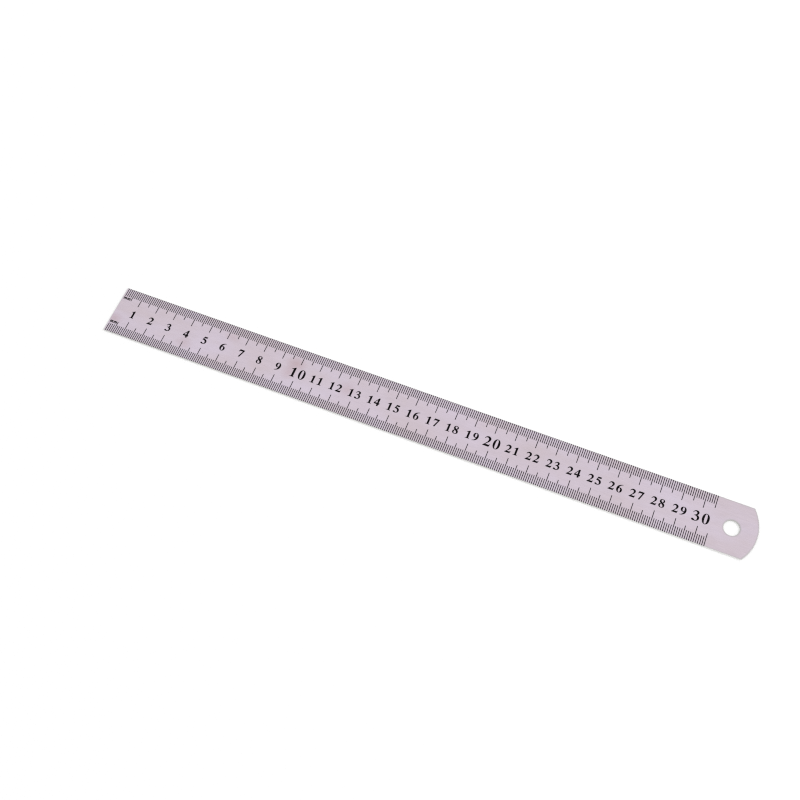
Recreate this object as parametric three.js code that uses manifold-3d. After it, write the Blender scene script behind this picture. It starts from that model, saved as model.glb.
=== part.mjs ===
// A 30 cm double-sided steel ruler: one stamped stainless blade, with millimetres etched on one
// face and inches on the other, and the etched marks filled with black enamel.
//
// Frame: the origin is the middle of the square zero end. X runs along the blade, Y across it, and
// +Z points out of the metric face. The inch face is turned over about the long axis, so both
// faces count from the same end.
import * as THREE from 'three';
import { mergeVertices } from 'three/addons/utils/BufferGeometryUtils.js';
import Module from 'manifold-3d';

const wasm = await Module();
wasm.setup();

// Driving dimensions, in millimetres
const LENGTH = 326.3; // zero end to the tip of the tab
const WIDTH = 26;
const THICKNESS = 0.7;
const END_RADIUS = 21; // the tab's rounded end
const HOLE_DIAMETER = 7.4;
const HOLE_TO_TIP = 11.9; // from the hole's centre
const ARC_STEPS = 24; // an arc is drawn as twice this many straight steps
const TINY = 1e-6; // corners closer together than this are one corner

const ENAMEL = 0.03; // how far a mark stands off the steel
const BARE_EDGE = 0.1; // steel left between a mark and the blade's outline
const METRIC_TICK = 0.36; // line widths
const INCH_TICK = 0.3;
const TIE = 0.05;
const CENTIMETRE = 10;
const INCH = 25.4;
const INCH_ZERO = 0.4; // the inch scales start this far in from the zero end

// A scale is a comb. Its lines run along the blade, and its ticks stand across them, reaching from
// the blade's edge to at least their own line. Depths are measured in from that edge. until and
// perUnit count in the scale's unit. The long ticks go past the last line, the coarser the deeper.
const METRIC_SCALE = {
  unit: CENTIMETRE,
  zero: 0,
  start: CENTIMETRE / 10 - METRIC_TICK / 2,
  tick: METRIC_TICK,
  // A hairline along the edge ties the separate millimetre ticks into one body.
  lines: [{ depth: BARE_EDGE + TIE / 2, width: TIE, perUnit: 10, until: 30.5 }],
  longTicks: [
    { perUnit: 10, depth: 4.6 },
    { perUnit: 2, depth: 6.5 },
    { perUnit: 1, depth: 8.3 },
  ],
};

// Tenths all along, and twentieths in the first two and a half inches
const TENTHS_SCALE = {
  unit: INCH,
  zero: INCH_ZERO,
  start: BARE_EDGE,
  tick: INCH_TICK,
  lines: [
    { depth: 4.0, width: INCH_TICK, perUnit: 20, until: 2.5 },
    { depth: 5.2, width: INCH_TICK, perUnit: 10, until: 12 },
  ],
  longTicks: [
    { perUnit: 2, depth: 7.2 },
    { perUnit: 1, depth: 8.2 },
  ],
};

// Sixteenths all along, and thirty-seconds in the first two and a half inches
const SIXTEENTHS_SCALE = {
  unit: INCH,
  zero: INCH_ZERO,
  start: BARE_EDGE,
  tick: INCH_TICK,
  lines: [
    { depth: 3.0, width: INCH_TICK, perUnit: 32, until: 2.5 },
    { depth: 4.5, width: INCH_TICK, perUnit: 16, until: 12 },
    { depth: 6.0, width: INCH_TICK, perUnit: 8, until: 12 },
  ],
  longTicks: [
    { perUnit: 4, depth: 6.7 },
    { perUnit: 2, depth: 7.8 },
    { perUnit: 1, depth: 9.1 },
  ],
};

// The stamped strip: a square zero end, a tab end rounded to one arc, and the hanging hole.
function bladeGeometry() {
  const arcCentre = LENGTH - END_RADIUS;
  const cornerAngle = Math.asin(WIDTH / 2 / END_RADIUS);
  const outline = new THREE.Shape();
  outline.moveTo(0, -WIDTH / 2);
  outline.lineTo(arcCentre + END_RADIUS * Math.cos(cornerAngle), -WIDTH / 2);
  outline.absarc(arcCentre, 0, END_RADIUS, -cornerAngle, cornerAngle);
  outline.lineTo(0, WIDTH / 2);
  outline.closePath();

  const hole = new THREE.Path();
  hole.absarc(LENGTH - HOLE_TO_TIP, 0, HOLE_DIAMETER / 2, 0, 2 * Math.PI);
  outline.holes.push(hole);

  return new THREE.ExtrudeGeometry(outline, {
    depth: THICKNESS,
    bevelEnabled: false,
    curveSegments: ARC_STEPS,
  }).translate(0, 0, -THICKNESS / 2);
}

// Where a scale's ticks of one division stand along the blade, after one count and up to another.
function tickPlaces({ unit, zero }, perUnit, after, until) {
  const places = [];
  for (let i = Math.floor(after * perUnit) + 1; i <= until * perUnit; i++) {
    places.push(zero + (i * unit) / perUnit);
  }
  return places;
}

// How deep the i-th of the finest long ticks goes: as deep as the coarsest division it falls on.
function longTickDepth(longTicks, i) {
  const onTick = longTicks.filter(({ perUnit }) => (i * perUnit) % longTicks[0].perUnit === 0);
  return onTick.at(-1).depth;
}

// A closed outline without its repeated points, or its points in the middle of a straight side.
function cornersOnly(outline) {
  const apart = ([x, depth], i) => {
    const [xBefore, depthBefore] = outline.at(i - 1);
    return Math.hypot(x - xBefore, depth - depthBefore) > TINY;
  };
  const points = outline.filter(apart);
  return points.filter(([x, depth], i) => {
    const [xBefore, depthBefore] = points.at(i - 1);
    const [xAfter, depthAfter] = points[(i + 1) % points.length];
    const turn = (x - xBefore) * (depthAfter - depth) - (depth - depthBefore) * (xAfter - x);
    return Math.abs(turn) > TINY;
  });
}

// The comb's outer outline, as [along, depth] corners.
function combOutline(scale) {
  const { start, lines, longTicks, tick } = scale;
  const half = tick / 2;
  const near = ({ depth, width }) => depth - width / 2;
  const far = ({ depth, width }) => depth + width / 2;
  const last = lines.at(-1);
  const points = [];

  // Along the blade's edge, away from the zero end: the ticks that reach out to the edge
  let done = 0;
  for (const line of lines) {
    for (const x of tickPlaces(scale, line.perUnit, done, line.until)) {
      points.push([x - half, near(line)]);
      points.push([x - half, BARE_EDGE]);
      points.push([x + half, BARE_EDGE]);
      points.push([x + half, near(line)]);
    }
    const nextLine = lines[lines.indexOf(line) + 1] ?? last;
    points.push([scale.zero + line.until * scale.unit + half, near(nextLine)]);
    done = line.until;
  }

  // Back along the last line: the long ticks
  const longPlaces = tickPlaces(scale, longTicks[0].perUnit, 0, last.until);
  for (let i = longPlaces.length; i > 0; i--) {
    const x = longPlaces[i - 1];
    const depth = longTickDepth(longTicks, i);
    points.push([x + half, far(last)]);
    points.push([x + half, depth]);
    points.push([x - half, depth]);
    points.push([x - half, far(last)]);
  }

  // Round the lines' free ends at the start
  for (let k = lines.length - 1; k >= 0; k--) {
    points.push([start, far(lines[k])]);
    points.push([start, near(lines[k])]);
    if (k > 0) {
      const firstTick = tickPlaces(scale, lines[k].perUnit, 0, 1)[0] - half;
      points.push([firstTick, near(lines[k])]);
      points.push([firstTick, far(lines[k - 1])]);
    }
  }
  return cornersOnly(points);
}

// The bare windows that two neighbouring lines and two neighbouring ticks close off.
function combWindows(scale) {
  const half = scale.tick / 2;
  const windows = [];
  for (let k = 1; k < scale.lines.length; k++) {
    const outer = scale.lines[k - 1];
    const inner = scale.lines[k];
    const top = outer.depth + outer.width / 2;
    const bottom = inner.depth - inner.width / 2;
    const places = tickPlaces(scale, inner.perUnit, 0, outer.until);
    for (let i = 1; i < places.length; i++) {
      const left = places[i - 1] + half;
      const right = places[i] - half;
      windows.push([[left, top], [right, top], [right, bottom], [left, bottom]]);
    }
  }
  return windows;
}

function toSolid(geometry) {
  const bare = geometry.clone();
  bare.deleteAttribute('normal');
  bare.deleteAttribute('uv');
  const merged = mergeVertices(bare);
  const vertProperties = new Float32Array(merged.attributes.position.array);
  const triVerts = new Uint32Array(merged.index.array);
  return new wasm.Manifold(new wasm.Mesh({ numProp: 3, vertProperties, triVerts }));
}

function toGeometry(solid) {
  const { vertProperties, triVerts } = solid.getMesh();
  const geometry = new THREE.BufferGeometry();
  geometry.setAttribute('position', new THREE.BufferAttribute(vertProperties, 3));
  geometry.setIndex(new THREE.BufferAttribute(triVerts, 1));
  geometry.computeVertexNormals();
  return geometry;
}

// One scale's enamel. edge is 1 on the +Y edge and -1 on the -Y edge, and side is 1 on the upper
// face and -1 on the lower one.
function scaleGeometry(scale, edge, side) {
  const bottom = side > 0 ? THICKNESS / 2 : -THICKNESS / 2 - ENAMEL;
  const prism = (corners, low, height) => {
    const onBlade = corners.map(([x, depth]) => new THREE.Vector2(x, edge * (WIDTH / 2 - depth)));
    const settings = { depth: height, bevelEnabled: false };
    const geometry = new THREE.ExtrudeGeometry(new THREE.Shape(onBlade), settings);
    return toSolid(geometry.translate(0, 0, low));
  };
  const comb = prism(combOutline(scale), bottom, ENAMEL);
  const cutWindow = (solid, corners) =>
    solid.subtract(prism(corners, bottom - ENAMEL, 3 * ENAMEL));
  return toGeometry(combWindows(scale).reduce(cutWindow, comb));
}

function steel() {
  return new THREE.MeshStandardMaterial({ color: 0xcfc3ce, roughness: 0.35, metalness: 1 });
}

function enamel() {
  return new THREE.MeshStandardMaterial({ color: 0x140c12, roughness: 0.5, metalness: 0 });
}

function piece(name, geometry, material) {
  const mesh = new THREE.Mesh(geometry, material);
  mesh.name = name;
  return mesh;
}

const ruler = new THREE.Group();
ruler.add(
  piece('blade', bladeGeometry(), steel()),
  piece('metric_scale_upper', scaleGeometry(METRIC_SCALE, 1, 1), enamel()),
  piece('metric_scale_lower', scaleGeometry(METRIC_SCALE, -1, 1), enamel()),
  piece('inch_scale_tenths', scaleGeometry(TENTHS_SCALE, -1, -1), enamel()),
  piece('inch_scale_sixteenths', scaleGeometry(SIXTEENTHS_SCALE, 1, -1), enamel()),
);

export default ruler;
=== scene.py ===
"""Looks of a 30 cm double-sided steel ruler: brushed stainless steel with black enamel marks."""

import math

import bmesh
import bpy
import numpy as np
from mathutils import Matrix, Vector
from mathutils.geometry import tessellate_polygon


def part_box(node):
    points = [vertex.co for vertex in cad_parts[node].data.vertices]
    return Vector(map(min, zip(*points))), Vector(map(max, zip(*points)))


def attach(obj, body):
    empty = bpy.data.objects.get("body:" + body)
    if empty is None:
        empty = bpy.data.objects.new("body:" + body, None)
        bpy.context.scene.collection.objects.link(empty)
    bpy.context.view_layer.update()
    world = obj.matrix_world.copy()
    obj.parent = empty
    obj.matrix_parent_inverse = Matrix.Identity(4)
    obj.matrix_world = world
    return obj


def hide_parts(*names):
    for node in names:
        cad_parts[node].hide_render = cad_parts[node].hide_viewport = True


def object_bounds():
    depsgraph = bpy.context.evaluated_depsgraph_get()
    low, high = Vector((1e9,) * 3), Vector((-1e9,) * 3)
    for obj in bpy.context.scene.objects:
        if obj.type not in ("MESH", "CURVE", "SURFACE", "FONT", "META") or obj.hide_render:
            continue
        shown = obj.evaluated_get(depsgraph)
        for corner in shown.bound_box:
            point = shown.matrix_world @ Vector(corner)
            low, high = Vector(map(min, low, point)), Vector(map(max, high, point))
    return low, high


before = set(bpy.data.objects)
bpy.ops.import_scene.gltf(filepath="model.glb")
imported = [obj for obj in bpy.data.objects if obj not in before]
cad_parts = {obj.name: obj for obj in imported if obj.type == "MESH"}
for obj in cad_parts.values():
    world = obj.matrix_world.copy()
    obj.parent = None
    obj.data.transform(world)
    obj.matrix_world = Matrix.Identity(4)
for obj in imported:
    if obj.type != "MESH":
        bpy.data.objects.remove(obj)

MM = 0.001
INCH = 25.4 * MM
CAD_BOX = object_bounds()

# The blade, from the frame. X runs from the zero end to the tab, and +Z out of the metric face.
BLADE_LOW, BLADE_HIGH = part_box("blade")
LENGTH = BLADE_HIGH.x - BLADE_LOW.x
HALF_WIDTH = BLADE_HIGH.y
FACE_Z = BLADE_HIGH.z
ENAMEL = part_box("metric_scale_upper")[1].z - FACE_Z
BARE_EDGE = HALF_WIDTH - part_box("metric_scale_upper")[1].y

END_RADIUS = 21 * MM
HOLE_RADIUS = 3.7 * MM
HOLE_CENTRE = LENGTH - 11.9 * MM
EDGE_ROUND = 0.2 * MM
# How far in from the outline and the hole the band of painted shade reaches
RIM_SHADE_WIDTH = 0.8 * MM
FLOOR_GAP = 0.02 * MM
ROUND_STEPS = 5
ARC_STEPS = 96
HOLE_STEPS = 96

METRIC_TICK = 0.36 * MM
LAST_MILLIMETRE = 305
MILLIMETRE_DEPTH = 4.6 * MM
FIVE_DEPTH = 6.5 * MM
CENTIMETRE_DEPTH = 8.3 * MM
INCH_ZERO = 0.4 * MM

NUMERAL = 4.0 * MM
TEN_NUMERAL = 5.05 * MM
NUMERAL_GAP = 0.75 * MM
NUMERAL_WEIGHT = 8  # added to every stroke's edge, in font units
TEN_WEIGHT = 2
METRIC_NUMERAL_Y = -0.15 * MM
ONE_DIGIT_SHIFT = -0.2 * MM  # along the blade, from the numeral's own tick
TWO_DIGIT_SHIFT = 0.3 * MM
INCH_DIGIT_SHIFT = -0.3 * MM

# Small print beside the scales: text, then its left, right, lowest and highest place in mm. Places
# are as seen on a face with the zero end at the left, from the zero end and from mid width. Last is
# the weight added to every stroke's edge, as a share of the letters' nominal size, which is
# FIGURE_HEIGHT for a letter drawn here.
METRIC_LABELS = (
    ("m", 0.7, 2.4, 6.6, 7.9, 0.035),
    ("m", 2.7, 4.4, 6.6, 7.9, 0.035),
    ("m", 0.8, 2.5, -7.8, -6.5, 0.05),
    ("m", 2.8, 4.5, -7.8, -6.5, 0.05),
)
INCH_LABELS = (
    ("INCH", 11.6, 19.6, -0.75, 1.35, 0.02),
    ("20", 1.2, 4.4, 5.2, 7.4, 0.015),
    ("10", 64.6, 67.6, 4.9, 6.9, 0.015),
    ("32", 1.0, 4.2, -6.1, -4.0, 0.015),
    ("16", 64.6, 67.6, -6.1, -4.1, 0.015),
)
LETTER_SPACING = 1.25

# Colours, as red, green and blue from 0 to 255
STEEL_TINTS = ((196, 183, 191), (198, 187, 200))
# Painted shade and reflection: the tint of darker patches drawn like finger marks
SMUDGE_SHADE_TINT = (184, 164, 171)
# Painted shade: a darker band along the blade's outline and its hole, at this strength
RIM_SHADE_TINT = (176, 172, 174)
RIM_SHADE_STRENGTH = 0.7
SIDE_ROUGHNESS = 0.45  # added on the blade's narrow sides
# Painted light and shade on the narrow sides: lit long sides, duller ends and hole
SHADED_SIDE = (205, 205, 202)
LIT_SIDE = (238, 238, 236)
ENAMEL_TINTS = ((5, 2, 5), (22, 17, 21))

# Painted shade and reflection: darker patches on each face, drawn like finger marks. Places are as
# above: centre, half length and half width in mm, then strength. The core setting below is the share
# of a patch's size within which it is at full strength.
SMUDGE_SHADE_CORE = 0.1
METRIC_SMUDGE_SHADES = (
    (97.5, 4.5, 6.0, 4.5, 0.9),
    (96.0, -1.0, 4.5, 4.5, 0.6),
    (126.0, 0.5, 5.0, 5.0, 0.5),
    (2.0, -5.0, 5.0, 3.5, 0.7),
    (41.0, -5.0, 5.0, 4.0, 0.5),
    (62.5, 6.5, 5.0, 3.0, 0.4),
)
INCH_SMUDGE_SHADES = (
    (2.0, 1.0, 4.0, 2.5, 0.5),
    (66.8, -0.8, 2.4, 2.4, 0.6),
    (97.5, -4.7, 3.5, 2.5, 0.4),
    (259.9, 6.2, 4.5, 3.5, 0.7),
)

# Digits in a bold book face, in font units, and a bold plain m. M, L and C are the usual path
# commands: move, straight line and cubic curve, with absolute points.
CELL_WIDTH = 500
FIGURE_HEIGHT = 676
DIGITS = {
    "0": """M 250 688 C 390 688 476 540 476 337 C 476 135 390 -13 250 -13
            C 110 -13 24 135 24 337 C 24 540 110 688 250 688
            M 250 655 C 190 655 165 560 165 337 C 165 115 190 20 250 20
            C 310 20 335 115 335 337 C 335 560 310 655 250 655""",
    "1": """M 342 688 L 342 110 C 342 40 355 22 432 19 L 432 0 L 78 0 L 78 19
            C 175 22 198 40 198 110 L 198 500 C 198 562 165 566 66 540
            L 66 561 C 150 590 230 640 292 688 L 342 688""",
    "2": """M 478 190 L 428 0 L 17 0 L 17 20 C 150 160 300 300 300 450
            C 300 540 250 592 180 592 C 120 592 75 560 45 487 L 24 492
            C 45 612 130 688 240 688 C 360 688 440 610 440 510
            C 440 400 360 320 172 128 L 350 128 C 410 128 432 140 458 190 L 478 190""",
    "3": """M 30 500 C 58 622 130 688 240 688 C 340 688 402 630 402 550
            C 402 490 372 442 312 405 C 410 372 468 308 468 215
            C 468 80 350 -14 165 -14 C 70 -14 16 15 16 60 C 16 96 44 122 82 122
            C 125 122 150 98 188 68 C 212 48 232 40 255 40 C 308 40 345 90 345 170
            C 345 282 270 345 132 350 L 132 370 C 220 385 275 440 275 515
            C 275 575 237 612 182 612 C 127 612 82 575 50 492 L 30 500""",
    "4": """M 402 0 L 402 148 L 475 148 L 475 260 L 402 260 L 402 688 L 315 688
            L 19 245 L 19 148 L 270 148 L 270 0 L 402 0
            M 270 260 L 78 260 L 270 545 L 270 260""",
    "5": """M 442 676 L 400 552 L 182 552 L 158 482 C 350 465 466 370 466 225
            C 466 85 350 -8 165 -8 C 75 -8 22 20 22 62 C 22 96 46 121 83 121
            C 130 121 152 92 192 66 C 214 51 236 42 256 42 C 306 42 340 86 340 160
            C 340 300 232 370 66 374 L 166 676 L 442 676""",
    "6": """M 462 688 C 220 670 28 520 28 280 C 28 100 120 -13 255 -13
            C 385 -13 475 80 475 205 C 475 320 400 402 295 402
            C 255 402 225 392 198 376 C 216 520 300 635 465 668 L 462 688
            M 186 330 C 205 348 225 356 250 356 C 310 356 338 300 338 180
            C 338 70 310 18 258 18 C 200 18 172 95 172 240 C 172 275 177 305 186 330""",
    "7": """M 477 676 L 477 655 L 235 0 L 130 0 L 345 548 L 150 548
            C 90 548 68 530 40 468 L 17 474 L 75 676 L 477 676""",
    "8": """M 250 688 C 360 688 440 625 440 535 C 440 470 400 425 332 386
            C 422 340 472 275 472 182 C 472 65 380 -13 248 -13 C 115 -13 28 60 28 165
            C 28 250 80 300 167 336 C 90 385 55 440 55 510 C 55 615 140 688 250 688
            M 292 412 C 326 450 336 482 336 540 C 336 620 305 660 250 660
            C 200 660 165 625 165 578 C 165 520 200 480 292 412
            M 202 314 C 155 275 138 230 138 170 C 138 70 185 18 255 18
            C 315 18 355 55 355 112 C 355 180 320 232 202 314""",
}
LETTERS = {
    "m": """M 0 0 L 0 460 L 135 460 L 135 400 C 170 445 220 470 275 470
            C 340 470 388 440 412 388 C 452 443 505 470 565 470 C 660 470 715 410 715 310
            L 715 0 L 575 0 L 575 285 C 575 330 555 352 517 352 C 460 352 427 315 427 250
            L 427 0 L 288 0 L 288 285 C 288 330 268 352 230 352 C 175 352 140 315 140 250
            L 140 0 L 0 0""",
}


# ---------------------------------------------------------------- mesh helpers

def new_piece(name, points, faces, material, smooth=()):
    """A mesh piece of the ruler that rides on its one body. smooth holds the rounded faces."""
    mesh = bpy.data.meshes.new(name)
    mesh.from_pydata([tuple(p) for p in points], [], faces)
    mesh.validate()
    for i in smooth:
        mesh.polygons[i].use_smooth = True
    mesh.set_sharp_from_angle(angle=math.radians(30))
    mesh.materials.append(material)
    piece = bpy.data.objects.new(name, mesh)
    bpy.context.scene.collection.objects.link(piece)
    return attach(piece, "root")


# ---------------------------------------------------------------- blade

def outline_ring(inset):
    """The blade's outline, moved inwards: two square corners, then the tab's arc."""
    half = HALF_WIDTH - inset
    radius = END_RADIUS - inset
    centre = LENGTH - END_RADIUS
    corner = math.asin(half / radius)
    arc = [
        (centre + radius * math.cos(a), radius * math.sin(a))
        for a in np.linspace(-corner, corner, ARC_STEPS + 1)
    ]
    return [(inset, half), (inset, -half)] + arc


def hole_ring(inset):
    """The hanging hole's edge, moved outwards into the steel."""
    radius = HOLE_RADIUS + inset
    return [
        (HOLE_CENTRE + radius * math.cos(a), -radius * math.sin(a))
        for a in np.linspace(0, 2 * math.pi, HOLE_STEPS, endpoint=False)
    ]


def edge_profile():
    """(inset, z) steps round the blade's edge, from its lower face up to its upper face."""
    turns = np.linspace(0, math.pi / 2, ROUND_STEPS + 1)
    flat = FACE_Z - EDGE_ROUND
    lower = [(EDGE_ROUND * (1 - math.sin(t)), -flat - EDGE_ROUND * math.cos(t)) for t in turns]
    upper = [(inset, -z) for inset, z in reversed(lower)]
    return lower + upper


def make_blade(material):
    points, faces, smooth = [], [], []
    flats = {}
    for ring in (outline_ring, hole_ring):
        starts = []
        for inset, z in edge_profile():
            starts.append(len(points))
            points += [(x, y, z) for x, y in ring(inset)]
        count = len(points) - starts[-1]
        for low, high in zip(starts, starts[1:]):
            for i in range(count):
                j = (i + 1) % count
                smooth.append(len(faces))
                faces.append((low + i, low + j, high + j, high + i))
        flats[ring] = (starts[0], starts[-1], count)
    for which in (0, 1):
        loops = [range(f[which], f[which] + f[2]) for f in flats.values()]
        order = [i for loop in loops for i in loop]
        corners = [[Vector(points[i]) for i in loop] for loop in loops]
        for tri in tessellate_polygon(corners):
            a, b, c = (order[i] for i in tri)
            first, second, third = (Vector(points[i]) for i in (a, b, c))
            upwards = (second - first).cross(third - first).z > 0
            faces.append((a, b, c) if upwards == (which == 1) else (a, c, b))
    return new_piece("steel_blade", points, faces, material, smooth)


# ---------------------------------------------------------------- straight marks

def prism(points, faces, corners):
    """Adds an enamel prism on the metric face, over corners that turn left as seen from above it."""
    low, high = FACE_Z, FACE_Z + ENAMEL
    start, count = len(points), len(corners)
    points += [(x, y, low) for x, y in corners] + [(x, y, high) for x, y in corners]
    faces.append([start + i for i in reversed(range(count))])
    faces.append([start + count + i for i in range(count)])
    for i in range(count):
        j = (i + 1) % count
        faces.append([start + i, start + j, start + count + j, start + count + i])


def tick_depth(i):
    """How far in from the blade's edge the i-th millimetre tick reaches."""
    if i % 10 == 0:
        return CENTIMETRE_DEPTH
    if i % 5 == 0:
        return FIVE_DEPTH
    return MILLIMETRE_DEPTH


def make_metric_scale(name, edge, material):
    """Millimetre ticks from one long edge. edge is 1 on the +Y edge and -1 on the -Y edge."""
    points, faces = [], []
    for i in range(1, LAST_MILLIMETRE + 1):
        left = i * MM - METRIC_TICK / 2
        right = i * MM + METRIC_TICK / 2
        outer = edge * (HALF_WIDTH - BARE_EDGE)
        inner = edge * (HALF_WIDTH - tick_depth(i))
        low, high = sorted((outer, inner))
        prism(points, faces, [(left, low), (right, low), (right, high), (left, high)])
    return new_piece(name, points, faces, material)


# ---------------------------------------------------------------- numerals

def read_path(path):
    """A glyph's contours. Each is a list of steps, which hold one point, or three for a cubic."""
    words = path.split()
    contours, i = [], 0
    while i < len(words):
        count = {"M": 1, "L": 1, "C": 3}[words[i]]
        numbers = [float(w) for w in words[i + 1 : i + 1 + 2 * count]]
        step = [Vector((numbers[2 * k], numbers[2 * k + 1], 0)) for k in range(count)]
        if words[i] == "M":
            contours.append([])
        contours[-1].append(step)
        i += 1 + 2 * count
    return contours


def curve_from_path(path, weight):
    """A filled flat curve of a glyph, in font units. weight is added to every stroke's edge."""
    curve = bpy.data.curves.new("glyph", "CURVE")
    curve.dimensions = "2D"
    curve.fill_mode = "BOTH"
    curve.resolution_u = 8
    curve.offset = weight
    for contour in read_path(path):
        knots = [step[-1] for step in contour[:-1]]
        spline = curve.splines.new("BEZIER")
        spline.bezier_points.add(len(knots) - 1)
        spline.use_cyclic_u = True
        for knot, place in zip(spline.bezier_points, knots):
            knot.handle_left_type = knot.handle_right_type = "FREE"
            knot.co = knot.handle_left = knot.handle_right = place
        for k, step in enumerate(contour[1:]):
            before = spline.bezier_points[k]
            after = spline.bezier_points[(k + 1) % len(knots)]
            if len(step) == 3:
                before.handle_right, after.handle_left = step[0], step[1]
            else:
                before.handle_right_type = after.handle_left_type = "VECTOR"
    return curve


def solid_from_curve(curve, size):
    """Points and faces of a curve or text of a known size, one unit thick about its plane."""
    curve.extrude = 0.5
    holder = bpy.data.objects.new("holder", curve)
    bpy.context.scene.collection.objects.link(holder)
    evaluated = holder.evaluated_get(bpy.context.evaluated_depsgraph_get())
    mesh = bpy.data.meshes.new_from_object(evaluated)
    bpy.data.objects.remove(holder)
    made = bmesh.new()
    made.from_mesh(mesh)
    bmesh.ops.remove_doubles(made, verts=made.verts, dist=1e-6 * size)
    bmesh.ops.dissolve_degenerate(made, edges=made.edges, dist=1e-5 * size)
    bmesh.ops.recalc_face_normals(made, faces=made.faces)
    made.to_mesh(mesh)
    made.free()
    points = np.array([v.co for v in mesh.vertices])
    faces = [list(p.vertices) for p in mesh.polygons]
    return points, faces


def stamp(points, faces, glyph, scale, x, y, side):
    """Adds a glyph's solid with its origin at x, y on a face, as seen with the zero end left."""
    glyph_points, glyph_faces = glyph
    start = len(points)
    for px, py, pz in glyph_points:
        across = (y + py * scale[1]) * side
        points.append((x + px * scale[0], across, side * (FACE_Z + (pz + 0.5) * ENAMEL)))
    # Both Y and Z turn over on the lower face, so the faces keep pointing out.
    faces += [[start + i for i in face] for face in glyph_faces]


def make_glyphs(weight):
    """Every digit's solid. weight is added to every stroke's edge."""
    glyphs = {}
    for digit, path in DIGITS.items():
        glyphs[digit] = solid_from_curve(curve_from_path(path, weight), FIGURE_HEIGHT)
    six_points, six_faces = glyphs["6"]
    glyphs["9"] = (six_points * (-1, -1, 1) + (CELL_WIDTH, FIGURE_HEIGHT, 0), six_faces)
    return glyphs


def make_numerals(name, numbers, side, material):
    """numbers holds (text, centre x, centre y, height, glyphs) rows."""
    points, faces = [], []
    for text, x, y, height, glyphs in numbers:
        scale = height / FIGURE_HEIGHT
        pitch = CELL_WIDTH * scale + NUMERAL_GAP
        left = x - pitch * (len(text) - 1) / 2 - CELL_WIDTH * scale / 2
        foot = y - height / 2
        for k, digit in enumerate(text):
            stamp(points, faces, glyphs[digit], (scale, scale), left + k * pitch, foot, side)
    return new_piece(name, points, faces, material)


def text_solid(text, weight):
    """The solid of a letter drawn in LETTERS, or else of a line of Blender's built-in face."""
    if text in LETTERS:
        outline = curve_from_path(LETTERS[text], weight * FIGURE_HEIGHT)
        return solid_from_curve(outline, FIGURE_HEIGHT)
    curve = bpy.data.curves.new("print", "FONT")
    curve.body = text
    curve.resolution_u = 4
    curve.space_character = LETTER_SPACING
    curve.offset = weight
    return solid_from_curve(curve, curve.size)


def make_labels(name, labels, side, material):
    """Print stretched to fill the box that each row of labels gives it."""
    points, faces = [], []
    for text, *places, weight in labels:
        left, right, low, high = (place * MM for place in places)
        letters, letter_faces = text_solid(text, weight)
        corner, far_corner = letters.min(axis=0), letters.max(axis=0)
        width, height = (far_corner - corner)[:2]
        flush = (letters - (corner[0], corner[1], 0), letter_faces)
        scale = ((right - left) / width, (high - low) / height)
        stamp(points, faces, flush, scale, left, low, side)
    return new_piece(name, points, faces, material)


# ---------------------------------------------------------------- materials

def new_material(name):
    made = bpy.data.materials.new(name)
    made.use_nodes = True
    made.node_tree.nodes.clear()
    return made, made.node_tree


def node(tree, kind, values=None, **settings):
    """A shader node. values sets its inputs: a socket is linked, and anything else is the value."""
    made = tree.nodes.new(kind)
    for key, value in settings.items():
        setattr(made, key, value)
    for key, value in (values or {}).items():
        if isinstance(value, bpy.types.NodeSocket):
            tree.links.new(value, made.inputs[key])
        else:
            made.inputs[key].default_value = value
    return made


def streaks(tree, place, along, across, detail=2.0):
    """Noise drawn out along the blade. along and across are the sizes of one streak, in metres."""
    scale = (1 / along, 1 / across, 1 / across)
    size = node(tree, "ShaderNodeMapping", {"Vector": place, "Scale": scale})
    noise = node(
        tree,
        "ShaderNodeTexNoise",
        {"Vector": size.outputs["Vector"], "Scale": 1.0, "Detail": detail, "Roughness": 0.6},
    )
    return noise.outputs["Fac"]


def blend_range(tree, value, low, high, to_low, to_high):
    """value, carried from low..high over to to_low..to_high and held at the ends."""
    made = node(
        tree,
        "ShaderNodeMapRange",
        {"Value": value, "From Min": low, "From Max": high, "To Min": to_low, "To Max": to_high},
    )
    return made.outputs["Result"]


def maths(tree, operation, *values):
    made = node(tree, "ShaderNodeMath", dict(enumerate(values)), operation=operation)
    return made.outputs[0]


def mix_colours(tree, factor, first, second):
    """The first colour where factor is 0, and the second where it is 1."""
    values = {"Factor": factor, "A": first, "B": second}
    return node(tree, "ShaderNodeMix", values, data_type="RGBA").outputs["Result"]


def show(tree, surface):
    """Makes a surface shader the material's output."""
    out = node(tree, "ShaderNodeOutputMaterial", {"Surface": surface})
    out.is_active_output = True


def srgb(red, green, blue):
    def linear(c):
        c /= 255
        return c / 12.92 if c <= 0.04045 else ((c + 0.055) / 1.055) ** 2.4

    return linear(red), linear(green), linear(blue), 1.0


def smudge(tree, place, row, side):
    """Painted shade: how strong one darker patch, drawn like a finger mark, is at each point, fading
    out from its middle to nothing.
    """
    x, y, half_length, half_width, strength = row
    centre = (x * MM, side * y * MM, side * FACE_Z)
    offset = node(tree, "ShaderNodeVectorMath", {0: place, 1: centre}, operation="SUBTRACT")
    # It is so thin that it does not reach the other face.
    size = (half_length * MM, half_width * MM, FACE_Z)
    reach = node(
        tree, "ShaderNodeVectorMath", {0: offset.outputs["Vector"], 1: size}, operation="DIVIDE"
    )
    away = node(tree, "ShaderNodeVectorMath", {0: reach.outputs["Vector"]}, operation="LENGTH")
    return blend_range(tree, away.outputs["Value"], SMUDGE_SHADE_CORE, 1.0, strength, 0)


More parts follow.
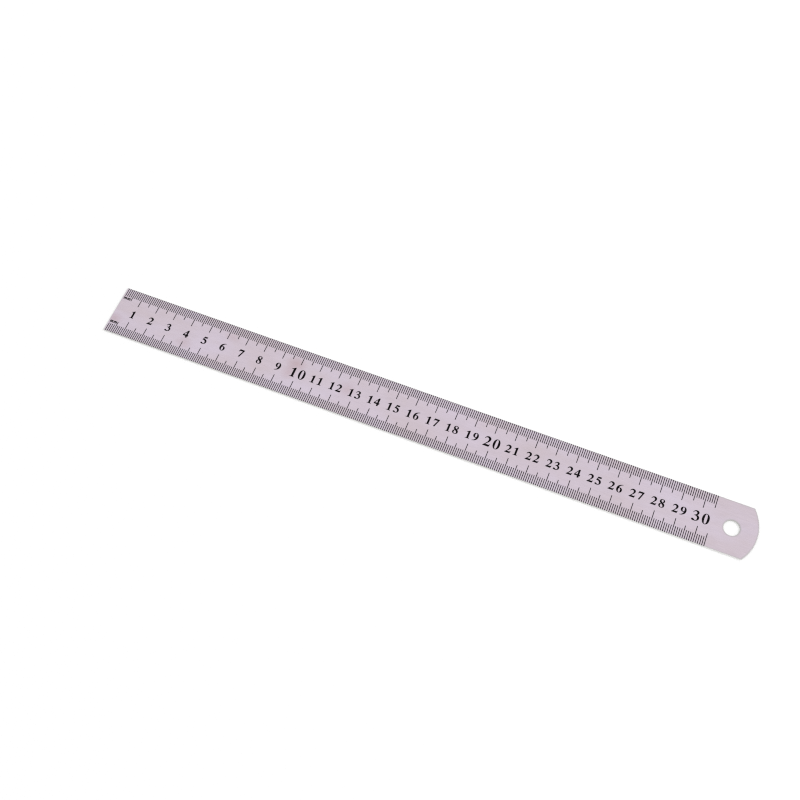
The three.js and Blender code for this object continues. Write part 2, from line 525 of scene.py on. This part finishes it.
def rubbed_rim(tree, place):
    """Painted shade along the blade's outline and its hole: 1 on a face right beside them, fading to
    0.
    """
    part = node(tree, "ShaderNodeSeparateXYZ", {"Vector": place})
    long_side = maths(tree, "SUBTRACT", HALF_WIDTH, maths(tree, "ABSOLUTE", part.outputs["Y"]))
    tip = maths(tree, "SUBTRACT", END_RADIUS, distance_from(tree, part, LENGTH - END_RADIUS))
    hole = maths(tree, "SUBTRACT", distance_from(tree, part, HOLE_CENTRE), HOLE_RADIUS)
    # The tip's arc bounds the tab only, so it is put out of reach further back.
    behind = maths(tree, "LESS_THAN", part.outputs["X"], LENGTH - END_RADIUS)
    tip = maths(tree, "ADD", tip, behind)
    nearest = maths(tree, "MINIMUM", maths(tree, "MINIMUM", long_side, tip), hole)
    return blend_range(tree, nearest, EDGE_ROUND, RIM_SHADE_WIDTH, 1, 0)


def distance_from(tree, part, x):
    """How far a place, given by its separate X, Y and Z, is from a point on the blade's long axis."""
    along = maths(tree, "SUBTRACT", part.outputs["X"], x)
    squares = [maths(tree, "MULTIPLY", side, side) for side in (along, part.outputs["Y"])]
    return maths(tree, "SQRT", maths(tree, "ADD", *squares))


def steel_colour(tree, place, fine, middle, patches):
    """The blade's faces: a pale pinkish grey, streaked along the brushing, with a few patches of
    painted shade drawn like smudges and a band of painted shade along the edges.
    """
    broad = streaks(tree, place, along=120 * MM, across=2.5 * MM)
    first, second = (srgb(*tint) for tint in STEEL_TINTS)
    tint = mix_colours(tree, blend_range(tree, patches, 0.35, 0.65, 0, 1), first, second)
    shade = 1.0
    for noise, low, high, amount in (
        (fine, 0.25, 0.75, 0.08),
        (middle, 0.25, 0.75, 0.025),
        (broad, 0.3, 0.7, 0.015),
        (patches, 0.3, 0.7, 0.03),
    ):
        change = blend_range(tree, noise, low, high, -amount, amount)
        shade = maths(tree, "ADD", shade, change)
    plain_steel = node(tree, "ShaderNodeVectorMath", {0: tint, "Scale": shade}, operation="SCALE")
    # Painted shade: darker patches drawn like finger marks, laid over the steel
    marks = 0.0
    for rows, side in ((METRIC_SMUDGE_SHADES, 1), (INCH_SMUDGE_SHADES, -1)):
        for row in rows:
            marks = maths(tree, "ADD", marks, smudge(tree, place, row, side))
    smudge_shade_amount = maths(tree, "MINIMUM", marks, 1.0)
    smudge_shaded_colour = mix_colours(tree, smudge_shade_amount, plain_steel.outputs["Vector"], srgb(*SMUDGE_SHADE_TINT))
    # Painted shade along the outline and round the hole
    rim_shade_amount = maths(tree, "MULTIPLY", rubbed_rim(tree, place), RIM_SHADE_STRENGTH)
    return mix_colours(tree, rim_shade_amount, smudge_shaded_colour, srgb(*RIM_SHADE_TINT))


def sheared_edge(tree):
    """1 on the blade's narrow sides and in its hole, and 0 on its faces."""
    normal = node(tree, "ShaderNodeNewGeometry").outputs["Normal"]
    upright = node(tree, "ShaderNodeSeparateXYZ", {"Vector": normal}).outputs["Z"]
    return blend_range(tree, maths(tree, "ABSOLUTE", upright), 0.9, 0.995, 1, 0)


def side_colour(tree, place):
    """The blade's narrow sides in painted light and shade: nearly white on its long edges, duller at
    its ends and in the hole.
    """
    part = node(tree, "ShaderNodeSeparateXYZ", {"Vector": place})
    across = maths(tree, "ABSOLUTE", part.outputs["Y"])
    long_side = maths(tree, "GREATER_THAN", across, HALF_WIDTH - EDGE_ROUND)
    return mix_colours(tree, long_side, srgb(*SHADED_SIDE), srgb(*LIT_SIDE))


def brushed_steel():
    made, tree = new_material("brushed_steel")
    place = node(tree, "ShaderNodeTexCoord").outputs["Object"]
    fine = streaks(tree, place, along=5 * MM, across=0.12 * MM)
    middle = streaks(tree, place, along=30 * MM, across=0.5 * MM)
    patches = streaks(tree, place, along=34 * MM, across=16 * MM, detail=3.0)
    edge = sheared_edge(tree)
    face_colour = steel_colour(tree, place, fine, middle, patches)
    # The narrow sides get their painted light and shade
    colour = mix_colours(tree, edge, face_colour, side_colour(tree, place))
    roughness = maths(
        tree,
        "ADD",
        blend_range(tree, middle, 0.25, 0.75, 0.26, 0.36),
        blend_range(tree, patches, 0.3, 0.7, -0.03, 0.04),
    )
    side_roughness = maths(tree, "MULTIPLY", edge, SIDE_ROUGHNESS)
    fine_height = maths(tree, "MULTIPLY", fine, 0.6)
    height = maths(tree, "ADD", fine_height, maths(tree, "MULTIPLY", middle, 0.4))
    bump = node(tree, "ShaderNodeBump", {"Height": height, "Strength": 0.12, "Distance": 0.02 * MM})
    shader = node(
        tree,
        "ShaderNodeBsdfPrincipled",
        {
            "Base Color": colour,
            "Metallic": 1.0,
            "Roughness": maths(tree, "ADD", roughness, side_roughness),
            # A highlight is drawn out across the brushing.
            "Anisotropic": blend_range(tree, edge, 0, 1, 0.5, 0),
            "Tangent": node(tree, "ShaderNodeCombineXYZ", {"Y": 1.0}).outputs["Vector"],
            "Normal": bump.outputs["Normal"],
        },
    )
    show(tree, shader.outputs["BSDF"])
    return made


def black_enamel():
    made, tree = new_material("black_enamel")
    place = node(tree, "ShaderNodeTexCoord").outputs["Object"]
    grain = node(
        tree, "ShaderNodeTexNoise", {"Vector": place, "Scale": 1 / (0.12 * MM), "Detail": 3.0}
    ).outputs["Fac"]
    wear = streaks(tree, place, along=9 * MM, across=3 * MM, detail=3.0)
    specks = blend_range(tree, grain, 0.3, 0.8, 0, 1)
    worn = maths(tree, "MULTIPLY", specks, blend_range(tree, wear, 0.4, 0.8, 0.2, 1))
    first, second = (srgb(*tint) for tint in ENAMEL_TINTS)
    tint = mix_colours(tree, worn, first, second)
    bump = node(tree, "ShaderNodeBump", {"Height": grain, "Strength": 0.25, "Distance": 0.01 * MM})
    shader = node(
        tree,
        "ShaderNodeBsdfPrincipled",
        {
            "Base Color": tint,
            "Roughness": blend_range(tree, grain, 0.3, 0.7, 0.42, 0.6),
            "Specular IOR Level": 0.05,
            "Normal": bump.outputs["Normal"],
        },
    )
    show(tree, shader.outputs["BSDF"])
    return made


# ---------------------------------------------------------------- the ruler

STEEL = brushed_steel()
INK = black_enamel()
GLYPHS = make_glyphs(NUMERAL_WEIGHT)
TEN_GLYPHS = make_glyphs(TEN_WEIGHT)

blade = make_blade(STEEL)
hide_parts("blade")

for cad_name, edge in (("metric_scale_upper", 1), ("metric_scale_lower", -1)):
    ticks = make_metric_scale(cad_name.replace("scale", "ticks"), edge, INK)
    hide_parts(cad_name)

for cad_name in ("inch_scale_tenths", "inch_scale_sixteenths"):
    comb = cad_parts[cad_name]
    comb.data.materials.clear()
    comb.data.materials.append(INK)

metric_rows = []
for n in range(1, 31):
    shift = ONE_DIGIT_SHIFT if n < 10 else TWO_DIGIT_SHIFT
    height, glyphs = (TEN_NUMERAL, TEN_GLYPHS) if n % 10 == 0 else (NUMERAL, GLYPHS)
    metric_rows.append((str(n), n * 10 * MM + shift, METRIC_NUMERAL_Y, height, glyphs))
make_numerals("metric_numerals", metric_rows, 1, INK)

inch_rows = []
for n in range(1, 13):
    shift = INCH_DIGIT_SHIFT if n < 10 else 0.0
    inch_rows.append((str(n), INCH_ZERO + n * INCH + shift, 0.0, NUMERAL, GLYPHS))
make_numerals("inch_numerals", inch_rows, -1, INK)

make_labels("metric_labels", METRIC_LABELS, 1, INK)
make_labels("inch_labels", INCH_LABELS, -1, INK)


# ---------------------------------------------------------------- stage

FLOOR_HALF = 8.0  # metres
FLOOR_COLOUR = (0.95, 0.95, 0.95, 1.0)
STUDIO_LIGHT = 0.76  # how strongly the surroundings light the ruler
STUDIO_SEEN = 1.0  # how strongly the camera sees them

# The photo's camera, in millimetres of lens, metres and degrees
LENS = 49.5
CAMERA_TARGET = Vector((0.15187, 0.00478, FACE_Z))
CAMERA_AZIMUTH = 24.67
CAMERA_ELEVATION = 63.67
CAMERA_DISTANCE = 0.5252
CAMERA_ROLL = -2.85


def make_floor():
    """A pale floor just under the ruler, which can't be seen from below or in the steel."""
    made, tree = new_material("pale_floor")
    values = {"Base Color": FLOOR_COLOUR, "Roughness": 0.9}
    shader = node(tree, "ShaderNodeBsdfPrincipled", values)
    clear = node(tree, "ShaderNodeBsdfTransparent")
    behind = node(tree, "ShaderNodeNewGeometry").outputs["Backfacing"]
    mix = node(
        tree,
        "ShaderNodeMixShader",
        {0: behind, 1: shader.outputs["BSDF"], 2: clear.outputs["BSDF"]},
    )
    show(tree, mix.outputs["Shader"])
    z = CAD_BOX[0].z - FLOOR_GAP
    mesh = bpy.data.meshes.new("floor")
    corners = [(FLOOR_HALF * x, FLOOR_HALF * y, z) for x, y in ((-1, -1), (1, -1), (1, 1), (-1, 1))]
    mesh.from_pydata(corners, [], [(0, 1, 2, 3)])
    mesh.materials.append(made)
    floor = bpy.data.objects.new("floor", mesh)
    bpy.context.scene.collection.objects.link(floor)
    floor.visible_shadow = False
    floor.visible_glossy = False


def make_surroundings():
    """An even pale studio, a little brighter where the camera sees it so that it meets the floor."""
    world = bpy.data.worlds.new("studio")
    world.use_nodes = True
    tree = world.node_tree
    seen = node(tree, "ShaderNodeLightPath").outputs["Is Camera Ray"]
    background = tree.nodes["Background"]
    background.inputs["Color"].default_value = (1, 1, 1, 1)
    strength = blend_range(tree, seen, 0, 1, STUDIO_LIGHT, STUDIO_SEEN)
    tree.links.new(strength, background.inputs["Strength"])
    bpy.context.scene.world = world


def softbox(name, place, aim, size, watts):
    data = bpy.data.lights.new(name, "AREA")
    data.shape = "SQUARE"
    data.size = size
    data.energy = watts
    lamp = bpy.data.objects.new(name, data)
    lamp.location = place
    lamp.rotation_mode = "QUATERNION"
    lamp.rotation_quaternion = (aim - place).to_track_quat("-Z", "Y")
    bpy.context.scene.collection.objects.link(lamp)


def from_round(target, azimuth, elevation, distance):
    """A place round target. Azimuth 0 is in front, towards -Y, and 90 is towards +X."""
    a, e = math.radians(azimuth), math.radians(elevation)
    back = Vector((math.sin(a) * math.cos(e), -math.cos(a) * math.cos(e), math.sin(e)))
    return target + back * distance


def make_camera():
    data = bpy.data.cameras.new("camera")
    data.sensor_width = 36.0
    data.lens = LENS
    data.clip_start = 0.01
    data.clip_end = 20.0
    camera = bpy.data.objects.new("camera", data)
    camera.location = from_round(CAMERA_TARGET, CAMERA_AZIMUTH, CAMERA_ELEVATION, CAMERA_DISTANCE)
    level = (CAMERA_TARGET - camera.location).to_track_quat("-Z", "Y").to_matrix()
    roll = Matrix.Rotation(math.radians(CAMERA_ROLL), 3, "Z")
    camera.rotation_mode = "QUATERNION"
    camera.rotation_quaternion = (level @ roll).to_quaternion()
    bpy.context.scene.collection.objects.link(camera)
    bpy.context.scene.camera = camera


make_floor()
middle = Vector((LENGTH / 2, 0, 0))
key_place = from_round(middle, azimuth=115, elevation=38, distance=4.0)
under_place = from_round(middle, azimuth=20, elevation=-70, distance=1.0)
softbox("key", key_place, aim=middle, size=1.2, watts=32.0)
softbox("overhead", Vector((0, 1.25, 3.0)), aim=Vector((0, 0.75, 0)), size=6.0, watts=45.0)
softbox("under", under_place, aim=middle, size=1.2, watts=3.0)

make_surroundings()
bpy.context.scene.view_settings.view_transform = "Standard"
# Denoising would smear the fine ticks into plain grey, and a wide pixel filter would fade them.
bpy.context.scene.cycles.use_denoising = False
bpy.context.scene.cycles.filter_width = 1.2
make_camera()
